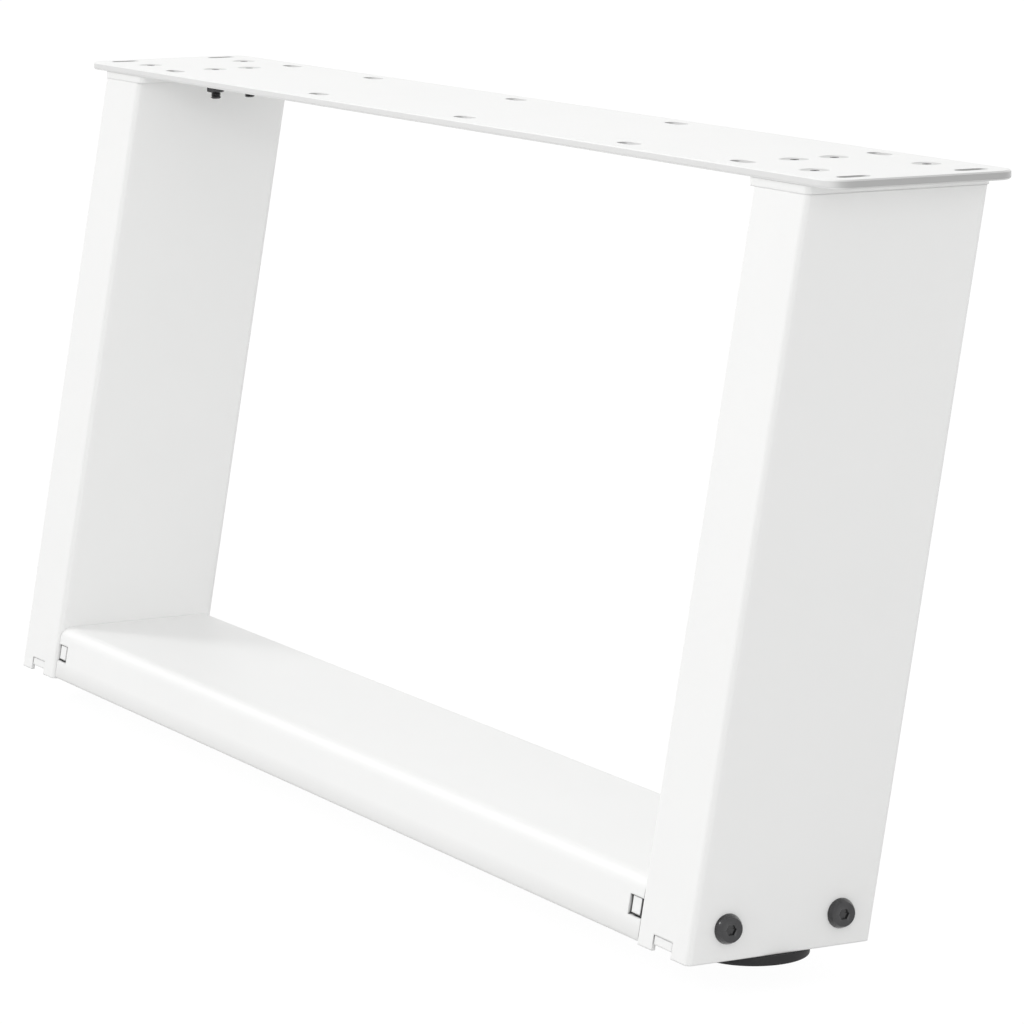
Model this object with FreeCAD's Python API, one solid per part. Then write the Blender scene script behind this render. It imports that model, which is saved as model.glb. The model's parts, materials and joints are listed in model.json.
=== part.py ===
import FreeCAD, Part
import math
import os

# U shaped table leg of white steel: two leaning uprights, a low crossbar and a top plate.
# +X runs along the leg, +Y is the way the uprights lean going up, +Z is up; z = 0 is the floor.
# The origin is the middle of the bottom of the bounding box; sizes are in mm.

os.makedirs("parts", exist_ok=True)

Vec = FreeCAD.Vector
X_AXIS = Vec(1, 0, 0)
SAME_POINT = 1e-6
CUT_SPARE = 0.5

# Top plate, screwed under the table top
PLATE_LENGTH = 700.0
PLATE_WIDTH = 83.0
PLATE_THICK = 3.5
PLATE_CORNER = 10.0
PLATE_EDGE_BEVEL = 0.6
PLATE_OVERHANG = 20.0

# Slots for the wood screws of the table top
SLOT_LENGTH = 14.0
SLOT_WIDTH = 6.0
END_SLOT_INSET = 11.0
END_SLOT_Y = 26.0
EDGE_SLOT_INSET = 83.0
EDGE_SLOT_Y = 31.0
ROW_SLOT_PITCH = 143.0
ROW_SLOT_SHIFT = 35.0

# Uprights: rectangular tube, leaning back by the same angle along its whole height
LEAN = math.radians(10.0)
SLOPE = math.tan(LEAN)
TUBE_BOTTOM = 4.0
UPRIGHT_HEIGHT = 289.0
TUBE_DEPTH = 80.0
UPRIGHT_DEPTH = TUBE_DEPTH / math.cos(LEAN)
UPRIGHT_WIDTH = 40.0
UPRIGHT_CORNER = 2.5
UPRIGHT_WALL = 1.5

# Caps welded on the uprights, each with a tongue under the top plate
CAP_THICK = 3.5
CAP_INNER_LIP = 3.0
CAP_BACK_LIP = 0.7
TONGUE_LENGTH = 34.0
TONGUE_HALF_WIDTH = 18.0
TONGUE_CORNER = 4.0

# Countersunk screws that hold the top plate to the caps; the outer rows are tapped into the caps
# and the inner rows have nuts; the 90 degree countersinks go through the whole thickness
PLATE_SCREW_D = 5.0
TONGUE_HOLE_D = 5.5
HEAD_SUNK = 0.2
PLATE_SCREW_LENGTH = 14.0
PLATE_SCREW_SOCKET = 3.0
PLATE_SCREW_SOCKET_DEPTH = 2.0
OUTER_ROW_Y = 25.0
INNER_ROW_INSET = 21.0
INNER_ROW_Y = 9.0
PLATE_NUT_FLATS = 8.0
PLATE_NUT_THICK = 4.0

# Crossbar: hollow bar between the uprights, its sides leaning with theirs and a little behind them
BAR_HEIGHT = 25.0
BAR_SET_BACK = 1.0
BAR_WALL = 2.0
BAR_FRONT_BOTTOM_R = 1.5
BAR_FRONT_TOP_R = 6.0
BAR_BACK_TOP_R = 3.5
BAR_BACK_BOTTOM_R = 2.5
BAR_INNER_R = 0.5
NOTCH_LENGTH = 10.3
NOTCH_HEIGHT = 8.0
NOTCH_RISE = 0.5

# Threaded plates inside the ends of the crossbar, with tabs that show in the end notches
BAR_END_THICK = 6.5
BAR_TAB_HEIGHT = 6.5
BAR_TAB_RISE = 0.9
BAR_TAB_SUNK = 0.4

# Low head screws through the uprights into the crossbar
SIDE_SCREW_D = 6.0
SIDE_SCREW_HOLE_D = 6.5
SIDE_SCREW_LENGTH = 50.0
SIDE_SCREW_HEAD_D = 12.0
SIDE_SCREW_HEAD_H = 2.8
SIDE_SCREW_RIM = 1.2
SIDE_SCREW_SOCKET = 4.0
SIDE_SCREW_SOCKET_DEPTH = 1.9
SIDE_SCREW_OFFSET_Y = 25.0

# Foot plates welded in the bottom of the uprights, with tabs in the bottom notches
FOOT_PLATE_THICK = 3.5
FOOT_PLATE_RAISE = 2.5
FOOT_NOTCH_WIDTH = 14.5
FOOT_NOTCH_HEIGHT = 6.2
FOOT_TAB_WIDTH = 13.5
FOOT_TAB_SUNK = 0.3
FOOT_NUT_FLATS = 13.0
FOOT_NUT_THICK = 6.5

# Levelling feet: a plastic disc on a threaded stud
DISC_D = 44.0
DISC_THICK = 3.8
DISC_LOWER_BEVEL = 0.7
STUD_D = 8.0
STUD_BOTTOM = 1.2
STUD_TOP = 32.0
STUD_CLEARANCE = 0.05

# Places that follow from the sizes above
CAP_BOTTOM = TUBE_BOTTOM + UPRIGHT_HEIGHT
PLATE_BOTTOM = CAP_BOTTOM + CAP_THICK
PLATE_TOP = PLATE_BOTTOM + PLATE_THICK
OVERALL_DEPTH = SLOPE * UPRIGHT_HEIGHT + UPRIGHT_DEPTH / 2 + PLATE_WIDTH / 2
UPRIGHT_OUTER_X = PLATE_LENGTH / 2 - PLATE_OVERHANG
UPRIGHT_INNER_X = UPRIGHT_OUTER_X - UPRIGHT_WIDTH
TUBE_X = (UPRIGHT_OUTER_X + UPRIGHT_INNER_X) / 2
WALL_Y = UPRIGHT_WALL / math.cos(LEAN)
COUNTERSINK_R = PLATE_SCREW_D / 2 + PLATE_THICK
OUTER_ROW_X = TUBE_X
INNER_ROW_X = UPRIGHT_INNER_X - INNER_ROW_INSET
BAR_MIDDLE_Z = TUBE_BOTTOM + BAR_HEIGHT / 2
BAR_END_RECESS = (NOTCH_LENGTH - BAR_END_THICK) / 2


def front_y(z):
    return -OVERALL_DEPTH / 2 + SLOPE * (z - TUBE_BOTTOM)


def back_y(z):
    return front_y(z) + UPRIGHT_DEPTH


def middle_y(z):
    return front_y(z) + UPRIGHT_DEPTH / 2


def lean_vector(height):
    return Vec(0, SLOPE * height, height)


def rounded_face(points, radii):
    # A flat face with one corner radius per point
    tips = []
    for i, p in enumerate(points):
        before = (points[i - 1] - p).normalize()
        after = (points[(i + 1) % len(points)] - p).normalize()
        half = before.getAngle(after) / 2
        inward = (before + after).normalize()
        reach = radii[i] / math.tan(half)
        middle = p + inward * (radii[i] / math.sin(half) - radii[i])
        tips.append((p + before * reach, middle, p + after * reach))
    edges = []
    for i, (start, middle, end) in enumerate(tips):
        edges.append(Part.Arc(start, middle, end).toShape())
        following = tips[(i + 1) % len(tips)][0]
        if end.distanceToPoint(following) > SAME_POINT:
            edges.append(Part.makeLine(end, following))
    return Part.Face(Part.Wire(edges))


def rounded_rectangle(x0, x1, y0, y1, z, radius):
    points = [Vec(x0, y0, z), Vec(x1, y0, z), Vec(x1, y1, z), Vec(x0, y1, z)]
    return rounded_face(points, [radius] * 4)


def leaning_box(x0, x1, z0, z1, inset):
    # A block that leans with the upright, its front and back faces set in by the inset
    points = [
        Vec(x0, front_y(z0) + inset, z0),
        Vec(x1, front_y(z0) + inset, z0),
        Vec(x1, back_y(z0) - inset, z0),
        Vec(x0, back_y(z0) - inset, z0),
    ]
    return Part.Face(Part.makePolygon(points + points[:1])).extrude(lean_vector(z1 - z0))


def hexagon(flats, height, base):
    radius = flats / math.sqrt(3)
    points = []
    for i in range(7):
        angle = math.radians(60 * i)
        points.append(base + Vec(radius * math.cos(angle), radius * math.sin(angle), 0))
    return Part.Face(Part.makePolygon(points)).extrude(Vec(0, 0, height))


def nut(flats, height, bore, base):
    return hexagon(flats, height, base).cut(Part.makeCylinder(bore / 2, height, base))


def plate_slot(x, y, along_x):
    length_x = SLOT_LENGTH if along_x else SLOT_WIDTH
    length_y = SLOT_WIDTH if along_x else SLOT_LENGTH
    face = rounded_rectangle(
        x - length_x / 2, x + length_x / 2, y - length_y / 2, y + length_y / 2,
        PLATE_BOTTOM, SLOT_WIDTH / 2,
    )
    return face.extrude(Vec(0, 0, PLATE_THICK))


def plate_screw(x, y):
    # Countersunk head flush in the plate, hexagon socket on top
    head_top = PLATE_TOP - HEAD_SUNK
    head_r = COUNTERSINK_R - HEAD_SUNK
    head_h = head_r - PLATE_SCREW_D / 2
    head = Part.makeCone(PLATE_SCREW_D / 2, head_r, head_h, Vec(x, y, head_top - head_h))
    shank = Part.makeCylinder(
        PLATE_SCREW_D / 2, PLATE_SCREW_LENGTH - head_h, Vec(x, y, head_top - PLATE_SCREW_LENGTH)
    )
    socket = hexagon(
        PLATE_SCREW_SOCKET, PLATE_SCREW_SOCKET_DEPTH, Vec(x, y, head_top - PLATE_SCREW_SOCKET_DEPTH)
    )
    return head.fuse(shank).removeSplitter().cut(socket)


def side_screw(y):
    # Built upright, then laid along +X with the head on the outer face of the upright
    shank = Part.makeCylinder(SIDE_SCREW_D / 2, SIDE_SCREW_LENGTH, Vec(0, 0, -SIDE_SCREW_LENGTH))
    rim = Part.makeCylinder(SIDE_SCREW_HEAD_D / 2, SIDE_SCREW_HEAD_H - SIDE_SCREW_RIM)
    bevel = Part.makeCone(
        SIDE_SCREW_HEAD_D / 2, SIDE_SCREW_HEAD_D / 2 - SIDE_SCREW_RIM, SIDE_SCREW_RIM,
        Vec(0, 0, SIDE_SCREW_HEAD_H - SIDE_SCREW_RIM),
    )
    socket = hexagon(
        SIDE_SCREW_SOCKET, SIDE_SCREW_SOCKET_DEPTH, Vec(0, 0, SIDE_SCREW_HEAD_H - SIDE_SCREW_SOCKET_DEPTH)
    )
    screw = rim.fuse([bevel, shank]).cut(socket)
    screw.rotate(Vec(0, 0, 0), Vec(0, 1, 0), 90)
    screw.translate(Vec(UPRIGHT_OUTER_X, y, BAR_MIDDLE_Z))
    return screw


def through_x(diameter, y, x0, x1):
    return Part.makeCylinder(diameter / 2, x1 - x0, Vec(x0, y, BAR_MIDDLE_Z), X_AXIS)


def bar_section(x, inset):
    # The leaning cross section of the crossbar; the inset gives the hollow inside it
    low = TUBE_BOTTOM + inset
    high = TUBE_BOTTOM + BAR_HEIGHT - inset
    side = BAR_SET_BACK + inset / math.cos(LEAN)
    points = [
        Vec(x, front_y(low) + side, low),
        Vec(x, back_y(low) - side, low),
        Vec(x, back_y(high) - side, high),
        Vec(x, front_y(high) + side, high),
    ]
    radii = [BAR_FRONT_BOTTOM_R, BAR_BACK_BOTTOM_R, BAR_BACK_TOP_R, BAR_FRONT_TOP_R]
    return rounded_face(points, [max(r - inset, BAR_INNER_R) for r in radii])


def make_top_plate():
    y = middle_y(CAP_BOTTOM)
    half = PLATE_LENGTH / 2
    plate = rounded_rectangle(
        -half, half, y - PLATE_WIDTH / 2, y + PLATE_WIDTH / 2, PLATE_BOTTOM, PLATE_CORNER
    ).extrude(Vec(0, 0, PLATE_THICK))
    rims = [e for e in plate.Edges if e.BoundBox.ZLength < PLATE_THICK / 2]
    plate = plate.makeChamfer(PLATE_EDGE_BEVEL, rims)
    cuts = []
    for end in (-1, 1):
        for side in (-1, 1):
            cuts.append(plate_slot(end * (half - END_SLOT_INSET), y + side * END_SLOT_Y, False))
            cuts.append(plate_slot(end * (half - EDGE_SLOT_INSET), y + side * EDGE_SLOT_Y, True))
            for x, dy in ((OUTER_ROW_X, OUTER_ROW_Y), (INNER_ROW_X, INNER_ROW_Y)):
                at = Vec(end * x, y + side * dy, PLATE_BOTTOM)
                cuts.append(Part.makeCone(PLATE_SCREW_D / 2, COUNTERSINK_R, PLATE_THICK, at))
    for step in (-1, 0, 1):
        x = step * ROW_SLOT_PITCH + ROW_SLOT_SHIFT
        cuts.append(plate_slot(x, y - EDGE_SLOT_Y, True))
        cuts.append(plate_slot(-x, y + EDGE_SLOT_Y, True))
    return plate.cut(cuts)


def make_upright():
    z = TUBE_BOTTOM
    outer = rounded_rectangle(UPRIGHT_INNER_X, UPRIGHT_OUTER_X, front_y(z), back_y(z), z, UPRIGHT_CORNER)
    inner = rounded_rectangle(
        UPRIGHT_INNER_X + UPRIGHT_WALL, UPRIGHT_OUTER_X - UPRIGHT_WALL,
        front_y(z) + WALL_Y, back_y(z) - WALL_Y, z, UPRIGHT_CORNER - UPRIGHT_WALL,
    )
    rise = lean_vector(UPRIGHT_HEIGHT)
    tube = outer.extrude(rise).cut(inner.extrude(rise))
    notch = leaning_box(
        TUBE_X - FOOT_NOTCH_WIDTH / 2, TUBE_X + FOOT_NOTCH_WIDTH / 2, z, z + FOOT_NOTCH_HEIGHT, -CUT_SPARE
    )
    cuts = [notch]
    for dy in (-SIDE_SCREW_OFFSET_Y, SIDE_SCREW_OFFSET_Y):
        y = middle_y(BAR_MIDDLE_Z) + dy
        cuts.append(through_x(SIDE_SCREW_HOLE_D, y, UPRIGHT_INNER_X, UPRIGHT_OUTER_X))
    return tube.cut(cuts)


def make_cap():
    z = CAP_BOTTOM
    y = middle_y(z)
    pad = rounded_rectangle(
        UPRIGHT_INNER_X - CAP_INNER_LIP, UPRIGHT_OUTER_X,
        front_y(z), back_y(z) + CAP_BACK_LIP, z, UPRIGHT_CORNER,
    ).extrude(Vec(0, 0, CAP_THICK))
    tongue = rounded_rectangle(
        UPRIGHT_INNER_X - TONGUE_LENGTH, UPRIGHT_INNER_X + 2 * TONGUE_CORNER,
        y - TONGUE_HALF_WIDTH, y + TONGUE_HALF_WIDTH, z, TONGUE_CORNER,
    ).extrude(Vec(0, 0, CAP_THICK))
    cuts = []
    for side in (-1, 1):
        tapped = Vec(OUTER_ROW_X, y + side * OUTER_ROW_Y, z)
        cuts.append(Part.makeCylinder(PLATE_SCREW_D / 2, CAP_THICK, tapped))
        clear = Vec(INNER_ROW_X, y + side * INNER_ROW_Y, z)
        cuts.append(Part.makeCylinder(TONGUE_HOLE_D / 2, CAP_THICK, clear))
    return pad.fuse(tongue).removeSplitter().cut(cuts)


def make_foot_plate():
    z0 = TUBE_BOTTOM + FOOT_PLATE_RAISE
    z1 = z0 + FOOT_PLATE_THICK
    inner = rounded_rectangle(
        UPRIGHT_INNER_X + UPRIGHT_WALL, UPRIGHT_OUTER_X - UPRIGHT_WALL,
        front_y(z0) + WALL_Y, back_y(z0) - WALL_Y, z0, UPRIGHT_CORNER - UPRIGHT_WALL,
    ).extrude(lean_vector(FOOT_PLATE_THICK))
    tabs = leaning_box(TUBE_X - FOOT_TAB_WIDTH / 2, TUBE_X + FOOT_TAB_WIDTH / 2, z0, z1, FOOT_TAB_SUNK)
    hole = Part.makeCylinder(
        STUD_D / 2 + STUD_CLEARANCE, FOOT_PLATE_THICK, Vec(TUBE_X, middle_y(TUBE_BOTTOM), z0)
    )
    return inner.fuse(tabs).removeSplitter().cut(hole)


def make_foot_nut():
    base = Vec(TUBE_X, middle_y(TUBE_BOTTOM), TUBE_BOTTOM + FOOT_PLATE_RAISE + FOOT_PLATE_THICK)
    return nut(FOOT_NUT_FLATS, FOOT_NUT_THICK, STUD_D + 2 * STUD_CLEARANCE, base)


def make_disc():
    disc = Part.makeCylinder(DISC_D / 2, DISC_THICK, Vec(TUBE_X, middle_y(TUBE_BOTTOM), 0))
    lower = [e for e in disc.Edges if e.BoundBox.ZMax < DISC_THICK / 2]
    disc = disc.makeChamfer(DISC_LOWER_BEVEL, lower)
    seat = Part.makeCylinder(STUD_D / 2, DISC_THICK, Vec(TUBE_X, middle_y(TUBE_BOTTOM), STUD_BOTTOM))
    return disc.cut(seat)


def make_stud():
    base = Vec(TUBE_X, middle_y(TUBE_BOTTOM), STUD_BOTTOM)
    return Part.makeCylinder(STUD_D / 2, STUD_TOP - STUD_BOTTOM, base)


def make_crossbar():
    x0 = -UPRIGHT_INNER_X
    length = Vec(2 * UPRIGHT_INNER_X, 0, 0)
    bar = bar_section(x0, 0).extrude(length).cut(bar_section(x0, BAR_WALL).extrude(length))
    z0 = BAR_MIDDLE_Z + NOTCH_RISE - NOTCH_HEIGHT / 2
    z1 = z0 + NOTCH_HEIGHT
    notches = [
        leaning_box(UPRIGHT_INNER_X - NOTCH_LENGTH, UPRIGHT_INNER_X, z0, z1, -CUT_SPARE),
        leaning_box(-UPRIGHT_INNER_X, NOTCH_LENGTH - UPRIGHT_INNER_X, z0, z1, -CUT_SPARE),
    ]
    return bar.cut(notches)


def make_bar_end():
    x0 = UPRIGHT_INNER_X - BAR_END_RECESS - BAR_END_THICK
    plate = bar_section(x0, BAR_WALL).extrude(Vec(BAR_END_THICK, 0, 0))
    z0 = BAR_MIDDLE_Z + BAR_TAB_RISE - BAR_TAB_HEIGHT / 2
    tabs = leaning_box(x0, x0 + BAR_END_THICK, z0, z0 + BAR_TAB_HEIGHT, BAR_SET_BACK + BAR_TAB_SUNK)
    holes = []
    for dy in (-SIDE_SCREW_OFFSET_Y, SIDE_SCREW_OFFSET_Y):
        holes.append(through_x(SIDE_SCREW_D, middle_y(BAR_MIDDLE_Z) + dy, x0, x0 + BAR_END_THICK))
    return plate.fuse(tabs).removeSplitter().cut(holes)


shapes = {"top_plate": make_top_plate(), "crossbar": make_crossbar()}

handed = {
    "upright": make_upright(),
    "upright_cap": make_cap(),
    "foot_plate": make_foot_plate(),
    "foot_plate_nut": make_foot_nut(),
    "levelling_foot": make_disc(),
    "levelling_stud": make_stud(),
    "crossbar_end": make_bar_end(),
}
suffixed = {}
for place, dy in (("front", -SIDE_SCREW_OFFSET_Y), ("back", SIDE_SCREW_OFFSET_Y)):
    suffixed["side_screw", place] = side_screw(middle_y(BAR_MIDDLE_Z) + dy)
rows = (("outer", OUTER_ROW_X, OUTER_ROW_Y), ("inner", INNER_ROW_X, INNER_ROW_Y))
for row, x, dy in rows:
    for place, sign in (("front", -1), ("back", 1)):
        suffixed["plate_screw", row + "_" + place] = plate_screw(x, middle_y(CAP_BOTTOM) + sign * dy)
for place, sign in (("front", -1), ("back", 1)):
    base = Vec(INNER_ROW_X, middle_y(CAP_BOTTOM) + sign * INNER_ROW_Y, CAP_BOTTOM - PLATE_NUT_THICK)
    suffixed["plate_nut", place] = nut(PLATE_NUT_FLATS, PLATE_NUT_THICK, PLATE_SCREW_D, base)

for name, shape in handed.items():
    shapes[name + "_right"] = shape
    shapes[name + "_left"] = shape.mirror(Vec(0, 0, 0), X_AXIS)
for (name, place), shape in suffixed.items():
    shapes[name + "_right_" + place] = shape
    shapes[name + "_left_" + place] = shape.mirror(Vec(0, 0, 0), X_AXIS)

for name, shape in shapes.items():
    shape.exportStep("parts/" + name + ".step")
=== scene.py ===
import json
import math

import bpy
from mathutils import Matrix, Vector


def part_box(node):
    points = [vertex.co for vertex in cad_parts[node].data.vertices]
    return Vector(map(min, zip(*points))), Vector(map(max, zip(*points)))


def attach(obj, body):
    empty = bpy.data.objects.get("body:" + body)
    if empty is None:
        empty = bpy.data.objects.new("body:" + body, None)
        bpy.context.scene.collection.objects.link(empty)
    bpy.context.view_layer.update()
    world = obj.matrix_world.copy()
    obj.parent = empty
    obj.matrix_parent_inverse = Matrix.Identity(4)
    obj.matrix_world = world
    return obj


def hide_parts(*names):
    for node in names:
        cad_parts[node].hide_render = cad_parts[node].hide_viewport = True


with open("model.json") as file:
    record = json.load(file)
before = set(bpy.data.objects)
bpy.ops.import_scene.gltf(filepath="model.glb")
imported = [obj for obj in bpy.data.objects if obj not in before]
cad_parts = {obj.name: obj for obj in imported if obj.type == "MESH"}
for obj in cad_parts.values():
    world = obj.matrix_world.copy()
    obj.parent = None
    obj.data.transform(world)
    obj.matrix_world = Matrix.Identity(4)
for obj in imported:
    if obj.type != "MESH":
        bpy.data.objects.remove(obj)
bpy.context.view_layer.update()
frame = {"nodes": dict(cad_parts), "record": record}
MM = 0.001

# Camera at the photograph's angle; the photograph's own vertical shift is turned into a tilt
CAMERA_PLACE = Vector((1.8482, -0.9446, 0.4740))
CAMERA_YAW = math.radians(62.086)
CAMERA_DOWN = math.radians(9.582)
CAMERA_ROLL = math.radians(0.271)
CAMERA_LENS_MM = 168.57
CAMERA_SENSOR_MM = 36.0
CAMERA_CLIP = (0.05, 100.0)

# Floor: half its side, and the gap under the feet when they are screwed right out, in metres
FLOOR_REACH = 30.0
FLOOR_SPARE = 0.0002

# Powder coat: its two tones, the range of its roughness and the radius of its edges in metres
COAT_DARK = (0.855, 0.857, 0.850)
COAT_LIGHT = (0.885, 0.886, 0.880)
COAT_SHEEN = (0.46, 0.54)
EDGE_RADIUS = 0.0009

# Painted shade in recesses: how near a wall has to be, in metres, the shares of open sky at which
# a spot is quite dark and at which it has the plain coat, and the tone of the painted shade
RECESS_SHADE_REACH = 0.010
RECESS_SHADE = (0.25, 0.50)
SHEET_RECESS_SHADE = (0.12, 0.62)
RECESS_SHADE_TONE = (0.012, 0.012, 0.013)

# Painted shade: darker ends and long sides of the top plate, and a darker lowest part of the
# crossbar
END_SHADE_TONE = (0.45, 0.45, 0.447)
SIDE_SHADE_TONE = (0.73, 0.73, 0.725)
END_SHADE_START = 0.40
SIDE_SHADE_START = 0.60
LOW_SHADE_TONE = (0.735, 0.735, 0.728)
LOW_SHADE_REACH = 0.009

# Side screws, M6 with a low head, in millimetres; socket depths are those of its bevelled mouth,
# its flats and the tip of the cone below them
SIDE_SCREW_R = 3.0
SIDE_TIP_R = 2.2
SIDE_TIP = 0.6
SIDE_PITCH = 1.0
SIDE_SHANK = 18.0
SIDE_RUNOUT = 0.5
SIDE_NECK = 0.3
SIDE_HEAD_D = 12.0
SIDE_HEAD_H = 2.8
SIDE_RIM = 1.2
SIDE_RIM_LIP = 0.25
SIDE_RIM_ARC = 8.0
SIDE_RIM_STEPS = 8
SIDE_SOCKET = 4.0
SIDE_SOCKET_R = 0.66 * SIDE_SOCKET
SIDE_SOCKET_DEPTHS = (0.3, 1.9, 2.4)
SIDE_SOCKET_TIP_R = 0.15

# Plate screws, countersunk M5, in millimetres
PLATE_SCREW_R = 2.5
PLATE_TIP_R = 1.9
PLATE_TIP = 0.5
PLATE_PITCH = 0.8
PLATE_NECK_R = 2.55
PLATE_NECK = 0.1
PLATE_RUNOUT = 0.6
PLATE_LAND = 0.12
PLATE_LAND_BEVEL = 0.15
PLATE_SOCKET = 3.0
PLATE_SOCKET_R = 0.64 * PLATE_SOCKET
PLATE_SOCKET_DEPTHS = (0.25, 2.0, 2.3)
PLATE_SOCKET_TIP_R = 0.1

# Nuts, in millimetres; the face is the share of the flats that stays level
PLATE_NUT_BORE = 5.0
FOOT_NUT_BORE = 8.1
NUT_FACE = 0.96
NUT_BEVEL = math.radians(30)
NUT_MOUTH = 0.35

# Levelling discs and their studs, in millimetres
DISC_RIM_LOW = 0.7
DISC_RIM_HIGH = 0.5
DISC_SOLE = 5.4
DISC_HOLLOW_BEVEL = 0.6
DISC_HOLLOW = 0.35
DISC_SEAT_BEVEL = 0.4
DISC_SEAT_MOUTH = 0.3
STUD_PITCH = 1.25
STUD_SHANK = 3.0
STUD_THREAD_START = 3.4
STUD_TIP = 1.0
STUD_TIP_BEVEL = 0.9

# Threads: rings in each turn, and their depth and the length of their ends as shares of the pitch
THREAD_STEPS = 8
THREAD_DEPTH = 0.61
THREAD_FADE = 0.5
THREAD_FLANK = 1.25

SMOOTH_BELOW = math.radians(35)

# Places of the colour sockets on a mix node
MIX_FIRST = 6
MIX_SECOND = 7
MIX_RESULT = 2


# Materials

def new_material(name):
    material = bpy.data.materials.new(name)
    material.use_nodes = True
    shader = material.node_tree.nodes["Principled BSDF"]
    return material, material.node_tree, shader


def add_axes(tree, space):
    # The three axes of a place or direction on the piece
    coords = tree.nodes.new("ShaderNodeTexCoord")
    split = tree.nodes.new("ShaderNodeSeparateXYZ")
    tree.links.new(coords.outputs[space], split.inputs["Vector"])
    return split.outputs


def add_noise(tree, scale, detail, roughness=0.5):
    noise = tree.nodes.new("ShaderNodeTexNoise")
    coords = tree.nodes.new("ShaderNodeTexCoord")
    tree.links.new(coords.outputs["Object"], noise.inputs["Vector"])
    noise.inputs["Scale"].default_value = scale
    noise.inputs["Detail"].default_value = detail
    noise.inputs["Roughness"].default_value = roughness
    return noise.outputs["Fac"]


def add_math(tree, operation, *values):
    step = tree.nodes.new("ShaderNodeMath")
    step.operation = operation
    for i, value in enumerate(values):
        tree.links.new(value, step.inputs[i])
    return step.outputs[0]


def add_range(tree, value, low, high, start=0.0, end=1.0, smooth=False):
    # Values from start to end are spread over low to high, and held there beyond
    spread = tree.nodes.new("ShaderNodeMapRange")
    tree.links.new(value, spread.inputs["Value"])
    spread.inputs["From Min"].default_value = start
    spread.inputs["From Max"].default_value = end
    spread.inputs["To Min"].default_value = low
    spread.inputs["To Max"].default_value = high
    if smooth:
        spread.interpolation_type = "SMOOTHSTEP"
    return spread.outputs["Result"]


def add_mix(tree, factor, first, second):
    # Either side is a colour or the output of another node
    mix = tree.nodes.new("ShaderNodeMix")
    mix.data_type = "RGBA"
    tree.links.new(factor, mix.inputs["Factor"])
    for place, side in ((MIX_FIRST, first), (MIX_SECOND, second)):
        if isinstance(side, tuple):
            mix.inputs[place].default_value = (*side, 1)
        else:
            tree.links.new(side, mix.inputs[place])
    return mix.outputs[MIX_RESULT]


def add_tint(tree, shader, value, dark, light):
    tree.links.new(add_mix(tree, value, dark, light), shader.inputs["Base Color"])


def add_sheen(tree, shader, value, sheen):
    tree.links.new(add_range(tree, value, *sheen), shader.inputs["Roughness"])


def add_recess_shade(tree, colour, recess_shade):
    # Painted shade: narrow gaps, slots and sockets are darkened nearly to black where little open
    # sky reaches them, as they are in the photograph
    near = tree.nodes.new("ShaderNodeAmbientOcclusion")
    near.samples = 16
    near.inputs["Distance"].default_value = RECESS_SHADE_REACH
    tree.links.new(colour, near.inputs["Color"])
    open_share = add_range(tree, near.outputs["AO"], 0.0, 1.0, *recess_shade, smooth=True)
    return add_mix(tree, open_share, RECESS_SHADE_TONE, colour)


def add_edge_shade(tree, colour):
    # Painted shade: faces that look along Y, and still more those along X such as the sheet's two
    # ends, are darker
    axes = add_axes(tree, "Normal")
    for axis, tone, start in (("Y", SIDE_SHADE_TONE, SIDE_SHADE_START), ("X", END_SHADE_TONE, END_SHADE_START)):
        size = add_math(tree, "ABSOLUTE", axes[axis])
        share = add_range(tree, size, 0.0, 1.0, start=start, smooth=True)
        colour = add_mix(tree, share, colour, tone)
    return colour


def add_low_shade(tree, colour, low):
    # Painted shade: the coat darkens evenly towards the given height
    height = add_axes(tree, "Object")["Z"]
    share = add_range(tree, height, 0.0, 1.0, start=low + LOW_SHADE_REACH, end=low)
    return add_mix(tree, share, colour, LOW_SHADE_TONE)


def add_edge(tree, radius):
    # Edges of sheet and tube are broken before they are sprayed
    edge = tree.nodes.new("ShaderNodeBevel")
    edge.samples = 4
    edge.inputs["Radius"].default_value = radius
    return edge.outputs["Normal"]


def add_bump(tree, shader, heights, normal=None):
    # Each height is (value, strength, distance in metres); later ones ride on the earlier ones
    for value, strength, distance in heights:
        bump = tree.nodes.new("ShaderNodeBump")
        bump.inputs["Strength"].default_value = strength
        bump.inputs["Distance"].default_value = distance
        tree.links.new(value, bump.inputs["Height"])
        if normal:
            tree.links.new(normal, bump.inputs["Normal"])
        normal = bump.outputs["Normal"]
    tree.links.new(normal, shader.inputs["Normal"])


def powder_coat(name, dark, light, sheen, recess_shade=RECESS_SHADE, edge_shade=False, low_shade=None):
    # Satin powder coat: a fine orange peel over a slow unevenness of the sprayed film
    material, tree, shader = new_material(name)
    peel = add_noise(tree, scale=700, detail=2)
    film = add_noise(tree, scale=60, detail=3)
    cloud = add_noise(tree, scale=9, detail=4, roughness=0.6)
    coat = add_mix(tree, cloud, dark, light)
    # Painted shade on faces that look along X or Y
    if edge_shade:
        coat = add_edge_shade(tree, coat)
    # Painted shade towards the bottom
    if low_shade is not None:
        coat = add_low_shade(tree, coat, low_shade)
    # Painted shade in recesses, laid over the coat's own colour
    tree.links.new(add_recess_shade(tree, coat, recess_shade), shader.inputs["Base Color"])
    add_sheen(tree, shader, film, sheen)
    heights = [(film, 0.06, 0.0006), (peel, 0.10, 0.00008)]
    add_bump(tree, shader, heights, add_edge(tree, EDGE_RADIUS))
    return material


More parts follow.
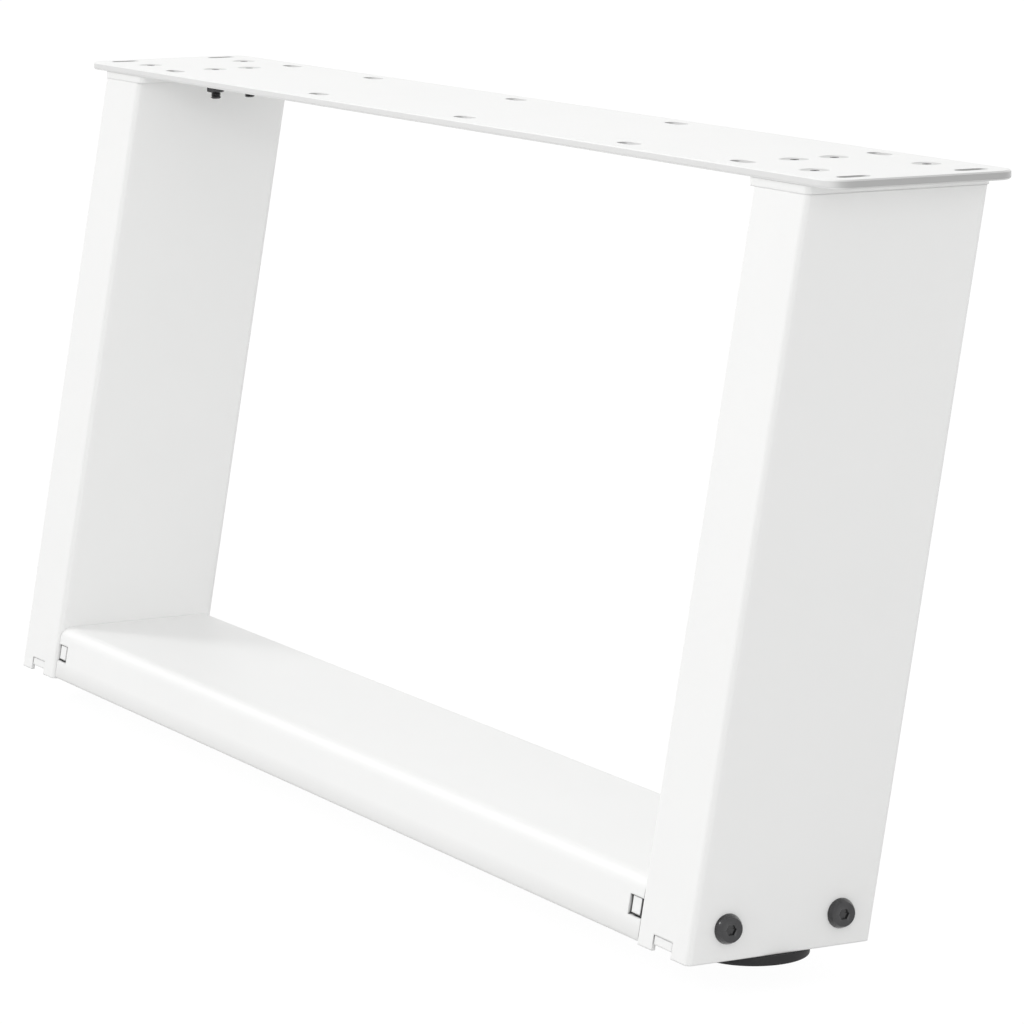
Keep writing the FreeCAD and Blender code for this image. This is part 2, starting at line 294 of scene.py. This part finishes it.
def dark_metal(name, dark, light, sheen):
    # Black oxide on steel: fine grain with slightly uneven sheen, under a thin film of oil
    material, tree, shader = new_material(name)
    grain = add_noise(tree, scale=2600, detail=3)
    patch = add_noise(tree, scale=240, detail=3)
    add_tint(tree, shader, patch, dark, light)
    add_sheen(tree, shader, grain, sheen)
    add_bump(tree, shader, [(grain, 0.15, 0.00002)])
    shader.inputs["Metallic"].default_value = 0.35
    shader.inputs["Specular IOR Level"].default_value = 0.2
    shader.inputs["Coat Weight"].default_value = 1.0
    shader.inputs["Coat Roughness"].default_value = 0.10
    return material


def zinc_plate(name, dark, light, sheen):
    # Bright zinc on turned steel
    material, tree, shader = new_material(name)
    grain = add_noise(tree, scale=1900, detail=4)
    patch = add_noise(tree, scale=160, detail=3)
    add_tint(tree, shader, patch, dark, light)
    add_sheen(tree, shader, grain, sheen)
    add_bump(tree, shader, [(grain, 0.12, 0.00002)])
    shader.inputs["Metallic"].default_value = 1.0
    return material


def moulded_plastic(name, dark, light, sheen):
    # Matt moulded plastic with a spark eroded grain
    material, tree, shader = new_material(name)
    grain = add_noise(tree, scale=3200, detail=2)
    patch = add_noise(tree, scale=120, detail=3)
    add_tint(tree, shader, patch, dark, light)
    add_sheen(tree, shader, patch, sheen)
    add_bump(tree, shader, [(grain, 0.25, 0.00003)])
    shader.inputs["Specular IOR Level"].default_value = 0.35
    return material


# The top plate's coat carries painted shade on its ends and long sides
SHEET_COAT = powder_coat(
    "white_sheet_coat", COAT_DARK, COAT_LIGHT, COAT_SHEEN, recess_shade=SHEET_RECESS_SHADE, edge_shade=True
)
# The crossbar's coat carries painted shade towards its bottom
BAR_COAT = powder_coat(
    "white_bar_coat", COAT_DARK, COAT_LIGHT, COAT_SHEEN, low_shade=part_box("crossbar")[0][2]
)
MATERIALS = {
    "white_steel": powder_coat("white_powder_coat", COAT_DARK, COAT_LIGHT, COAT_SHEEN),
    "plate_screw": powder_coat(
        "white_screw_coat", (0.54, 0.54, 0.535), (0.60, 0.60, 0.595), (0.34, 0.42)
    ),
    "black_screw": dark_metal(
        "black_oxide", (0.016, 0.016, 0.018), (0.032, 0.032, 0.034), (0.28, 0.44)
    ),
    "zinc_steel": zinc_plate(
        "zinc_plate", (0.50, 0.51, 0.53), (0.66, 0.67, 0.68), (0.24, 0.42)
    ),
    "black_plastic": moulded_plastic(
        "black_plastic", (0.010, 0.010, 0.011), (0.018, 0.018, 0.019), (0.52, 0.64)
    ),
}


def paint(piece, material):
    piece.data.materials.clear()
    piece.data.materials.append(material)


# Hardware, built from rings round an axis; a ring is a function of the angle that gives
# (radius, height)

def round_ring(radius, height):
    return lambda angle: (radius, height)


def hexagon_radius(flats, angle):
    sixth = math.pi / 3
    return flats / 2 / math.cos((angle + sixth / 2) % sixth - sixth / 2)


def hexagon_ring(flats, height):
    return lambda angle: (hexagon_radius(flats, angle), height)


def ring_mesh(name, rings, segments, closed=False):
    # Consecutive rings are joined; an open stack is capped at both ends, a closed one loops
    points = []
    for ring in rings:
        for i in range(segments):
            angle = 2 * math.pi * i / segments
            radius, height = ring(angle)
            x, y = radius * math.cos(angle), radius * math.sin(angle)
            points.append((x * MM, y * MM, height * MM))
    faces = []
    count = len(rings)
    for k in range(count if closed else count - 1):
        a, b = k * segments, (k + 1) % count * segments
        for i in range(segments):
            j = (i + 1) % segments
            faces.append((a + i, a + j, b + j, b + i))
    if not closed:
        faces.append(tuple(reversed(range(segments))))
        faces.append(tuple((count - 1) * segments + i for i in range(segments)))
    mesh = bpy.data.meshes.new(name)
    mesh.from_pydata(points, [], faces)
    mesh.update()
    return mesh


def threaded_rings(radius, pitch, low, high):
    # A helical V thread between two heights, fading out at both ends
    count = int(round((high - low) / pitch * THREAD_STEPS))
    end = THREAD_FADE * pitch
    rings = []
    for k in range(count + 1):
        height = low + (high - low) * k / count
        depth = THREAD_DEPTH * pitch * min(1.0, (height - low) / end, (high - height) / end)

        def ring(angle, height=height, depth=depth):
            phase = (height / pitch - angle / (2 * math.pi)) % 1.0
            ridge = abs(2 * phase - 1)
            return radius - depth * min(1.0, ridge * THREAD_FLANK), height

        rings.append(ring)
    return rings


def socket_rings(flats, mouth_r, depths, tip_r, top):
    # Hexagon socket with a bevelled mouth and the cone of the drill at its bottom
    mouth, bottom, tip = depths
    return [
        round_ring(mouth_r, top),
        hexagon_ring(flats, top - mouth),
        hexagon_ring(flats, top - bottom),
        round_ring(tip_r, top - tip),
    ]


def side_rim_rings():
    # An arc from the lip, near the head's underside, to its flat top
    base = SIDE_HEAD_D / 2
    rise = SIDE_HEAD_H - SIDE_RIM_LIP
    middle = math.atan2(rise, SIDE_RIM)
    half = math.asin(math.hypot(rise, SIDE_RIM) / 2 / SIDE_RIM_ARC)
    start = middle + half
    rings = []
    for k in range(SIDE_RIM_STEPS + 1):
        swing = start - 2 * half * k / SIDE_RIM_STEPS
        radius = base + SIDE_RIM_ARC * (math.sin(swing) - math.sin(start))
        height = SIDE_RIM_LIP + SIDE_RIM_ARC * (math.cos(swing) - math.cos(start))
        rings.append(round_ring(radius, height))
    return rings


def side_screw_mesh(name, length):
    # Head up, underside of the head at height 0
    rings = [round_ring(SIDE_TIP_R, -length)]
    rings += threaded_rings(SIDE_SCREW_R, SIDE_PITCH, SIDE_TIP - length, -SIDE_SHANK)
    rings += [
        round_ring(SIDE_SCREW_R, SIDE_RUNOUT - SIDE_SHANK),
        round_ring(SIDE_SCREW_R, -SIDE_NECK),
        round_ring(SIDE_SCREW_R + SIDE_NECK, 0),
        round_ring(SIDE_HEAD_D / 2 - SIDE_RIM_LIP, 0),
    ]
    rings += side_rim_rings()
    rings += socket_rings(
        SIDE_SOCKET, SIDE_SOCKET_R, SIDE_SOCKET_DEPTHS, SIDE_SOCKET_TIP_R, top=SIDE_HEAD_H
    )
    return ring_mesh(name, rings, segments=96)


def plate_screw_mesh(name, head_r, head_h, length):
    # Head up, top of the head at height 0
    rings = [round_ring(PLATE_TIP_R, -length)]
    rings += threaded_rings(PLATE_SCREW_R, PLATE_PITCH, PLATE_TIP - length, -head_h - PLATE_RUNOUT)
    rings += [
        round_ring(PLATE_SCREW_R, -head_h - PLATE_NECK),
        round_ring(PLATE_NECK_R, -head_h),
        round_ring(head_r, -PLATE_LAND),
        round_ring(head_r - PLATE_LAND_BEVEL, 0),
    ]
    rings += socket_rings(
        PLATE_SOCKET, PLATE_SOCKET_R, PLATE_SOCKET_DEPTHS, PLATE_SOCKET_TIP_R, top=0
    )
    return ring_mesh(name, rings, segments=72)


def nut_mesh(name, flats, thick, bore):
    # Both faces bevelled round the corners, the bore opened a little at its mouths
    face_r = flats / 2 * NUT_FACE

    def corner_ring(sign):
        def ring(angle):
            radius = hexagon_radius(flats, angle)
            rise = thick / 2 - (radius - face_r) * math.tan(NUT_BEVEL)
            return radius, thick / 2 + sign * rise
        return ring

    bore_r = bore / 2
    mouth_r = bore_r + NUT_MOUTH
    rings = [
        round_ring(bore_r, NUT_MOUTH),
        round_ring(mouth_r, 0),
        round_ring(face_r, 0),
        corner_ring(-1),
        corner_ring(1),
        round_ring(face_r, thick),
        round_ring(mouth_r, thick),
        round_ring(bore_r, thick - NUT_MOUTH),
    ]
    return ring_mesh(name, rings, segments=96, closed=True)


def quarter_turn(steps):
    return [math.radians(90 * k / steps) for k in range(steps + 1)]


def disc_mesh(name, radius, thick, seat_r, seat_depth):
    # Levelling disc: shallow hollow underneath, softened rims and the seat of its stud
    rings = [
        round_ring(radius - DISC_SOLE - DISC_HOLLOW_BEVEL, DISC_HOLLOW),
        round_ring(radius - DISC_SOLE, 0),
    ]
    for swing in quarter_turn(6):
        inset = DISC_RIM_LOW * (1 - math.sin(swing))
        rings.append(round_ring(radius - inset, DISC_RIM_LOW * (1 - math.cos(swing))))
    for swing in quarter_turn(4):
        inset = DISC_RIM_HIGH * (1 - math.cos(swing))
        rings.append(round_ring(radius - inset, thick - DISC_RIM_HIGH * (1 - math.sin(swing))))
    rings += [
        round_ring(seat_r + DISC_SEAT_BEVEL, thick),
        round_ring(seat_r, thick - DISC_SEAT_MOUTH),
        round_ring(seat_r, thick - seat_depth),
    ]
    return ring_mesh(name, rings, segments=128)


def stud_mesh(name, radius, length):
    rings = [round_ring(radius, 0), round_ring(radius, STUD_SHANK)]
    rings += threaded_rings(radius, STUD_PITCH, STUD_THREAD_START, length - STUD_TIP)
    rings += [round_ring(radius - STUD_TIP_BEVEL, length)]
    return ring_mesh(name, rings, segments=64)


def add_object(name, data):
    thing = bpy.data.objects.new(name, data)
    bpy.context.collection.objects.link(thing)
    return thing


def add_piece(node, mesh, slot, body, place, turn=None):
    # The detailed piece that takes the place of a plain solid
    if turn is not None:
        mesh.transform(turn)
    mesh.transform(Matrix.Translation(place))
    for polygon in mesh.polygons:
        polygon.use_smooth = True
    mesh.set_sharp_from_angle(angle=SMOOTH_BELOW)
    piece = add_object(node + "_detail", mesh)
    paint(piece, MATERIALS[slot])
    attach(piece, body)
    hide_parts(node)
    return piece


def blacken_shank_and_shade_socket(piece, socket_r, head_h):
    # Everything below the head of a white screw is black oxide; its socket is painted black too,
    # as painted shade
    piece.data.materials.append(MATERIALS["black_screw"])
    top = max(v.co.z for v in piece.data.vertices)
    axis = sum((v.co for v in piece.data.vertices), Vector()) / len(piece.data.vertices)
    for polygon in piece.data.polygons:
        away = polygon.center - axis
        if top - polygon.center.z > head_h or math.hypot(away.x, away.y) < socket_r:
            polygon.material_index = 1


def node_middle(node):
    low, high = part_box(node)
    return (Vector(low) + Vector(high)) / 2


def add_side_screws(side, sign):
    turn = Matrix.Rotation(math.radians(90) * sign, 4, "Y")
    for row in ("front", "back"):
        node = "side_screw_%s_%s" % (side, row)
        low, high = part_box(node)
        length = (high[0] - low[0]) / MM - SIDE_HEAD_H
        under_head = (high[0] if sign > 0 else low[0]) - sign * SIDE_HEAD_H * MM
        middle = node_middle(node)
        mesh = side_screw_mesh(node, length)
        place = Vector((under_head, middle.y, middle.z))
        add_piece(node, mesh, "black_screw", "frame", place, turn)


def add_plate_screws(side):
    for row in ("outer", "inner"):
        for line in ("front", "back"):
            node = "plate_screw_%s_%s_%s" % (side, row, line)
            low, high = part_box(node)
            middle = node_middle(node)
            head_r = (high[0] - low[0]) / 2 / MM
            # The head narrows at 45 degrees, so its height is the difference of the radii
            head_h = head_r - PLATE_SCREW_R
            mesh = plate_screw_mesh(node, head_r, head_h, (high[2] - low[2]) / MM)
            place = Vector((middle.x, middle.y, high[2]))
            screw = add_piece(node, mesh, "plate_screw", "frame", place)
            blacken_shank_and_shade_socket(screw, PLATE_SOCKET_R * MM, head_h * MM)


def add_nut(node, bore, slot):
    low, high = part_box(node)
    middle = node_middle(node)
    mesh = nut_mesh(node, (high[1] - low[1]) / MM, (high[2] - low[2]) / MM, bore)
    add_piece(node, mesh, slot, "frame", Vector((middle.x, middle.y, low[2])))


def add_foot(side):
    disc = "levelling_foot_" + side
    stud = "levelling_stud_" + side
    body = "foot_" + side
    low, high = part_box(disc)
    stud_low, stud_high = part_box(stud)
    middle = node_middle(disc)
    radius = (high[0] - low[0]) / 2 / MM
    stud_r = (stud_high[0] - stud_low[0]) / 2 / MM
    seat = (high[2] - stud_low[2]) / MM
    mesh = disc_mesh(disc, radius, (high[2] - low[2]) / MM, stud_r, seat)
    add_piece(disc, mesh, "black_plastic", body, Vector((middle.x, middle.y, low[2])))
    mesh = stud_mesh(stud, stud_r, (stud_high[2] - stud_low[2]) / MM)
    add_piece(stud, mesh, "zinc_steel", body, Vector((middle.x, middle.y, stud_low[2])))


def dress_steel():
    slots = {s["node"]: s["material_slot"] for s in frame["record"]["subparts"]}
    own_coats = {"top_plate": SHEET_COAT, "crossbar": BAR_COAT}
    for node, piece in frame["nodes"].items():
        paint(piece, own_coats.get(node, MATERIALS[slots[node]]))


dress_steel()
for side, sign in (("left", -1), ("right", 1)):
    add_side_screws(side, sign)
    add_plate_screws(side)
    for line in ("front", "back"):
        add_nut("plate_nut_%s_%s" % (side, line), PLATE_NUT_BORE, "black_screw")
    add_nut("foot_plate_nut_" + side, FOOT_NUT_BORE, "zinc_steel")
    add_foot(side)


# Studio

def add_backdrop(tree, plain, shown, output):
    # Shown to rays that see the backdrop itself, straight on, in a gloss or through something;
    # the plain one meets all other rays
    rays = tree.nodes.new("ShaderNodeLightPath")
    seen = rays.outputs["Is Camera Ray"]
    for name in ("Is Glossy Ray", "Is Transmission Ray"):
        seen = add_math(tree, "MAXIMUM", seen, rays.outputs[name])
    mix = tree.nodes.new("ShaderNodeMixShader")
    tree.links.new(seen, mix.inputs["Fac"])
    tree.links.new(plain, mix.inputs[1])
    tree.links.new(shown, mix.inputs[2])
    tree.links.new(mix.outputs[0], tree.nodes[output].inputs["Surface"])


def add_floor(grey, glow_strength, veil_grey):
    # It lies just under the levelling feet when they are screwed right out; as it is seen, it
    # glows nearly white and takes the shadows through a thin grey veil
    travel = max(joint["range_m"][1] for joint in frame["record"]["behaviour"]["joints"])
    level = -travel - FLOOR_SPARE
    mesh = bpy.data.meshes.new("floor")
    signs = ((-1, -1), (1, -1), (1, 1), (-1, 1))
    corners = [(x * FLOOR_REACH, y * FLOOR_REACH, level) for x, y in signs]
    mesh.from_pydata(corners, [], [(0, 1, 2, 3)])
    floor = add_object("floor", mesh)
    material, tree, shader = new_material("floor_paper")
    shader.inputs["Base Color"].default_value = (grey, grey, grey, 1)
    shader.inputs["Roughness"].default_value = 0.9
    glow = tree.nodes.new("ShaderNodeEmission")
    glow.inputs["Strength"].default_value = glow_strength
    veil = tree.nodes.new("ShaderNodeBsdfDiffuse")
    veil.inputs["Color"].default_value = (veil_grey, veil_grey, veil_grey, 1)
    paper = tree.nodes.new("ShaderNodeAddShader")
    tree.links.new(glow.outputs[0], paper.inputs[0])
    tree.links.new(veil.outputs[0], paper.inputs[1])
    add_backdrop(tree, shader.outputs[0], paper.outputs[0], "Material Output")
    mesh.materials.append(material)


def add_world(strength):
    world = bpy.data.worlds.new("studio")
    world.use_nodes = True
    bpy.context.scene.world = world
    tree = world.node_tree
    soft = tree.nodes["Background"]
    white = tree.nodes.new("ShaderNodeBackground")
    for sky, brightness in ((soft, strength), (white, 1.0)):
        sky.inputs["Color"].default_value = (1, 1, 1, 1)
        sky.inputs["Strength"].default_value = brightness
    add_backdrop(tree, soft.outputs[0], white.outputs[0], "World Output")


def add_sun(name, direction, strength, spread):
    # The direction is where the light comes from, the spread is in degrees
    light = bpy.data.lights.new(name, "SUN")
    light.energy = strength
    light.angle = math.radians(spread)
    lamp = add_object(name, light)
    lamp.rotation_euler = Vector(direction).to_track_quat("Z", "Y").to_euler()


def add_softbox(name, place, target, side, power):
    light = bpy.data.lights.new(name, "AREA")
    light.shape = "SQUARE"
    light.size = side
    light.energy = power
    lamp = add_object(name, light)
    lamp.location = place
    lamp.rotation_euler = (Vector(place) - Vector(target)).to_track_quat("Z", "Y").to_euler()


def add_camera():
    data = bpy.data.cameras.new("camera")
    data.lens = CAMERA_LENS_MM
    data.sensor_width = CAMERA_SENSOR_MM
    data.clip_start, data.clip_end = CAMERA_CLIP
    camera = add_object("camera", data)
    forward = Vector((
        -math.sin(CAMERA_YAW) * math.cos(CAMERA_DOWN),
        math.cos(CAMERA_YAW) * math.cos(CAMERA_DOWN),
        -math.sin(CAMERA_DOWN),
    ))
    aim = forward.to_track_quat("-Z", "Y").to_matrix().to_4x4()
    roll = Matrix.Rotation(-CAMERA_ROLL, 4, "Z")
    camera.matrix_world = Matrix.Translation(CAMERA_PLACE) @ aim @ roll
    bpy.context.scene.camera = camera


add_floor(grey=0.80, glow_strength=0.97, veil_grey=0.06)
add_world(strength=0.77)
add_sun("key", (-0.70, -0.37, 0.61), strength=0.62, spread=14)
add_sun("left", (-0.88, -0.15, 0.45), strength=0.30, spread=80)
add_sun("fill", (0.92, -0.28, 0.12), strength=0.51, spread=60)
add_softbox("front", (0.15, -1.05, 0.85), target=(0.0, 0.0, 0.20), side=0.2, power=1.74)
add_camera()
bpy.context.scene.view_settings.view_transform = "Standard"
